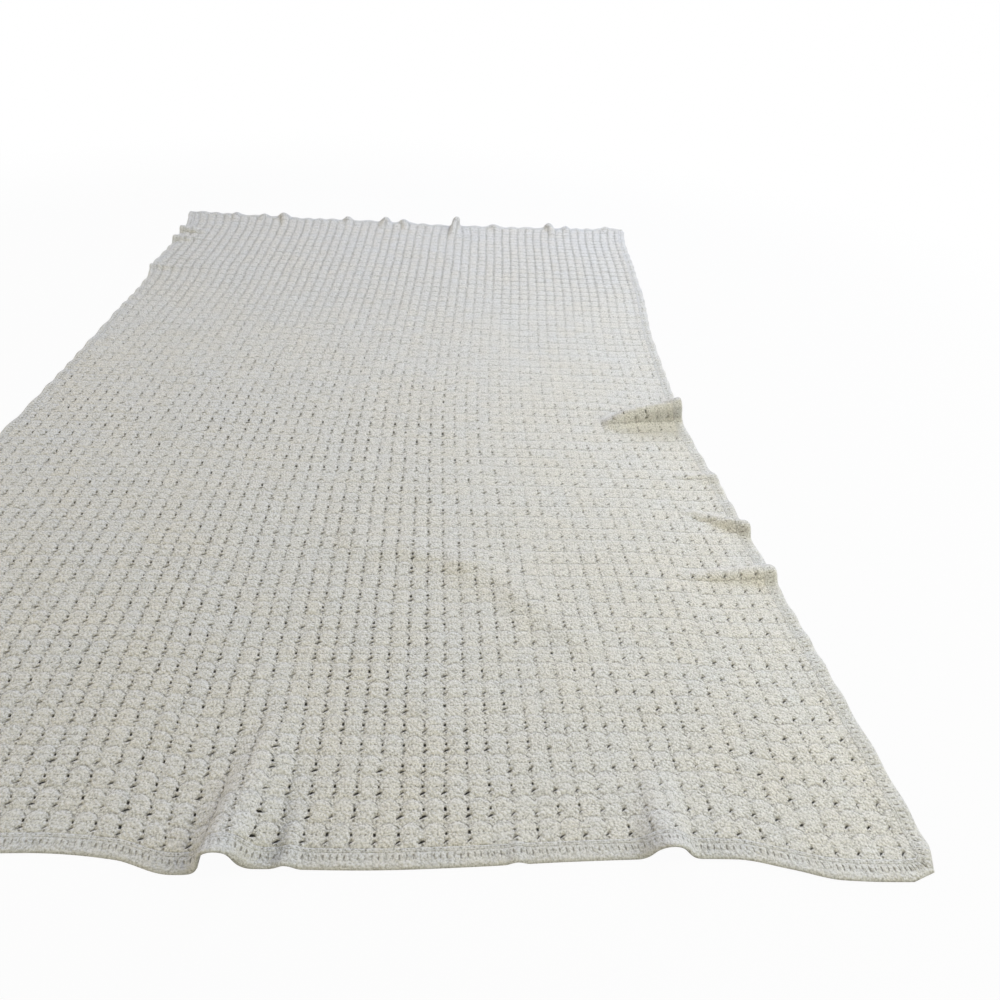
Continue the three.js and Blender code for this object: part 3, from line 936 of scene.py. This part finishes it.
class BLANKET_OT_stage(Operator):
    """Build the floor, the lamps and the camera"""

    bl_idname = "blanket.stage"
    bl_label = "Stage"

    def execute(self, context):
        colours = context.scene.blanket_colours
        self.floor(colours.floor)
        self.lamp("window", (1.1, 2.4, 1.9), 1.6, colours.window, (0.69, 0.76, 1.0))
        self.lamp("side", (-3.6, -1.0, 1.7), 1.8, colours.side, (1.0, 0.935, 0.84))
        self.lamp("ceiling", (1.8, -0.6, 1.4), 1.6, colours.ceiling, (0.99, 1.0, 0.935))
        self.lamp("fill", (0.2, -4.5, 1.6), 2.0, colours.fill, (1.0, 0.92, 0.38))
        world = bpy.data.worlds.new("room")
        context.scene.world = world
        tree = Tree(world)
        warm = {"Color": (1.0, 0.98, 0.93, 1), "Strength": colours.room}
        room = tree.add("ShaderNodeBackground", None, warm)
        white = tree.add("ShaderNodeBackground", None, {"Color": (1, 1, 1, 1), "Strength": 1.0})
        eye = self.seen_by_eye(tree)
        both = tree.add("ShaderNodeMixShader", None, {0: eye, 1: room, 2: white})
        tree.add("ShaderNodeOutputWorld", None, {"Surface": both})
        self.camera(context)
        context.scene.view_settings.view_transform = "Standard"
        return {"FINISHED"}

    def seen_by_eye(self, tree):
        """1 for rays from the camera and for what gloss and glass show, and 0 for others."""
        path = tree.add("ShaderNodeLightPath").socket.node
        kinds = ("Camera", "Glossy", "Transmission")
        eye, gloss, glass = (Socket(tree, path.outputs[f"Is {kind} Ray"]) for kind in kinds)
        return eye.math("MAXIMUM", gloss).math("MAXIMUM", glass)

    def floor(self, colour):
        """A plain floor that looks white round the blanket, and whiter further off; and its
        part below the blanket, which is only lit by what comes through the openings."""
        size, level, level_below = 12.0, -0.0004, -0.0002
        corners = [(x * size, y * size, level) for x, y in ((-1, -1), (1, -1), (1, 1), (-1, 1))]
        self.plate("floor", corners, [(0, 1, 2, 3)], colour, 0.96)
        edge_u, edge_v = 0.0155, 0.0106  # just outside the ground, under the edging
        shares = np.linspace(edge_u, 1 - edge_u, 60)
        one = np.ones(60)
        u = np.concatenate([shares, one * (1 - edge_u), shares[::-1], one * edge_u])
        v = np.concatenate([one * edge_v, shares, one * (1 - edge_v), shares[::-1]])
        outline = middle(u, v)
        outline[2] = level_below
        self.plate("floor_below", outline.T.tolist(), [tuple(range(len(u)))], colour, 0)

    def plate(self, name, corners, faces, colour, white_share):
        """A flat part of the floor, with a share of plain white that only shows to the eye."""
        mesh = bpy.data.meshes.new(name)
        mesh.from_pydata(corners, [], faces)
        material = bpy.data.materials.new(name)
        tree = Tree(material)
        place = tree.add("ShaderNodeTexCoord", None, None, "Object")
        noise = {"Vector": place, "Scale": 30, "Detail": 3}
        grain = tree.add("ShaderNodeTexNoise", None, noise, "Fac")
        tint = grain.mix(linear(colour), linear([part * 0.97 for part in colour]))
        lit = tree.add("ShaderNodeBsdfDiffuse", None, {"Color": tint})
        white = tree.add("ShaderNodeEmission", None, {"Color": (1, 1, 1, 1), "Strength": 1.0})
        distance = tree.add("ShaderNodeVectorMath", {"operation": "LENGTH"}, {0: place}, "Value")
        share = (distance.between(1.2, 2.2) * 0.04 + white_share) * (1 if white_share else 0)
        eye = self.seen_by_eye(tree) * share
        both = tree.add("ShaderNodeMixShader", None, {0: eye, 1: lit, 2: white})
        tree.add("ShaderNodeOutputMaterial", None, {"Surface": both})
        mesh.materials.append(material)
        plate = bpy.data.objects.new(name, mesh)
        bpy.context.collection.objects.link(plate)

    def lamp(self, name, place, size, power, colour):
        """A square area lamp at a place, turned to the middle of the blanket's right half."""
        light = bpy.data.lights.new(name, "AREA")
        light.energy, light.size, light.color = power, size, colour
        lamp = bpy.data.objects.new(name, light)
        lamp.location = place
        ray = Vector((0.2, 0, 0)) - Vector(place)
        lamp.rotation_euler = ray.to_track_quat("-Z", "Y").to_euler()
        bpy.context.collection.objects.link(lamp)

    def camera(self, context):
        """A camera above the near edge, looking down along the blanket, a little rolled."""
        pitch, yaw, roll = 0.684844, 0.09658, -0.078683
        forwards = Vector((math.sin(yaw), math.cos(yaw), 0))
        ahead = forwards * math.cos(pitch) - Vector((0, 0, math.sin(pitch)))
        level = Vector((math.cos(yaw), -math.sin(yaw), 0))
        up = level.cross(ahead)
        right = level * math.cos(roll) - up * math.sin(roll)
        up = up * math.cos(roll) + level * math.sin(roll)
        data = bpy.data.cameras.new("camera")
        data.lens, data.sensor_width, data.clip_start = 25.2, 36, 0.02
        camera = bpy.data.objects.new("camera", data)
        turn = Matrix((right, up, -ahead)).transposed().to_4x4()
        camera.matrix_world = Matrix.Translation((0.1317, -1.2476, 0.7123)) @ turn
        context.collection.objects.link(camera)
        context.scene.camera = camera


class BLANKET_PT_panel(Panel):
    """Lists the blanket's settings and pieces"""

    bl_label = "Crochet Throw Blanket"
    bl_idname = "BLANKET_PT_panel"
    bl_space_type = "VIEW_3D"
    bl_region_type = "UI"
    bl_category = "Blanket"

    def draw(self, context):
        for group in (context.scene.blanket_sizes, context.scene.blanket_colours):
            for name in group.__annotations__:
                self.layout.prop(group, name)
        for operator in OPERATORS:
            self.layout.operator(operator.bl_idname)


GROUPS = {"blanket_sizes": BlanketSizes, "blanket_colours": BlanketColours}
OPERATORS = (BLANKET_OT_ground, BLANKET_OT_edging, BLANKET_OT_stage)
CLASSES = (*GROUPS.values(), *OPERATORS, BLANKET_PT_panel)


def register():
    for one in CLASSES:
        bpy.utils.register_class(one)
    for name, group in GROUPS.items():
        setattr(bpy.types.Scene, name, PointerProperty(type=group))


def unregister():
    for name in GROUPS:
        delattr(bpy.types.Scene, name)
    for one in reversed(CLASSES):
        bpy.utils.unregister_class(one)


def main():
    """Registers the tools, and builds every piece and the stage."""
    register()
    bpy.ops.blanket.ground()
    bpy.ops.blanket.edging()
    bpy.ops.blanket.stage()


if __name__ == "__main__":
    main()
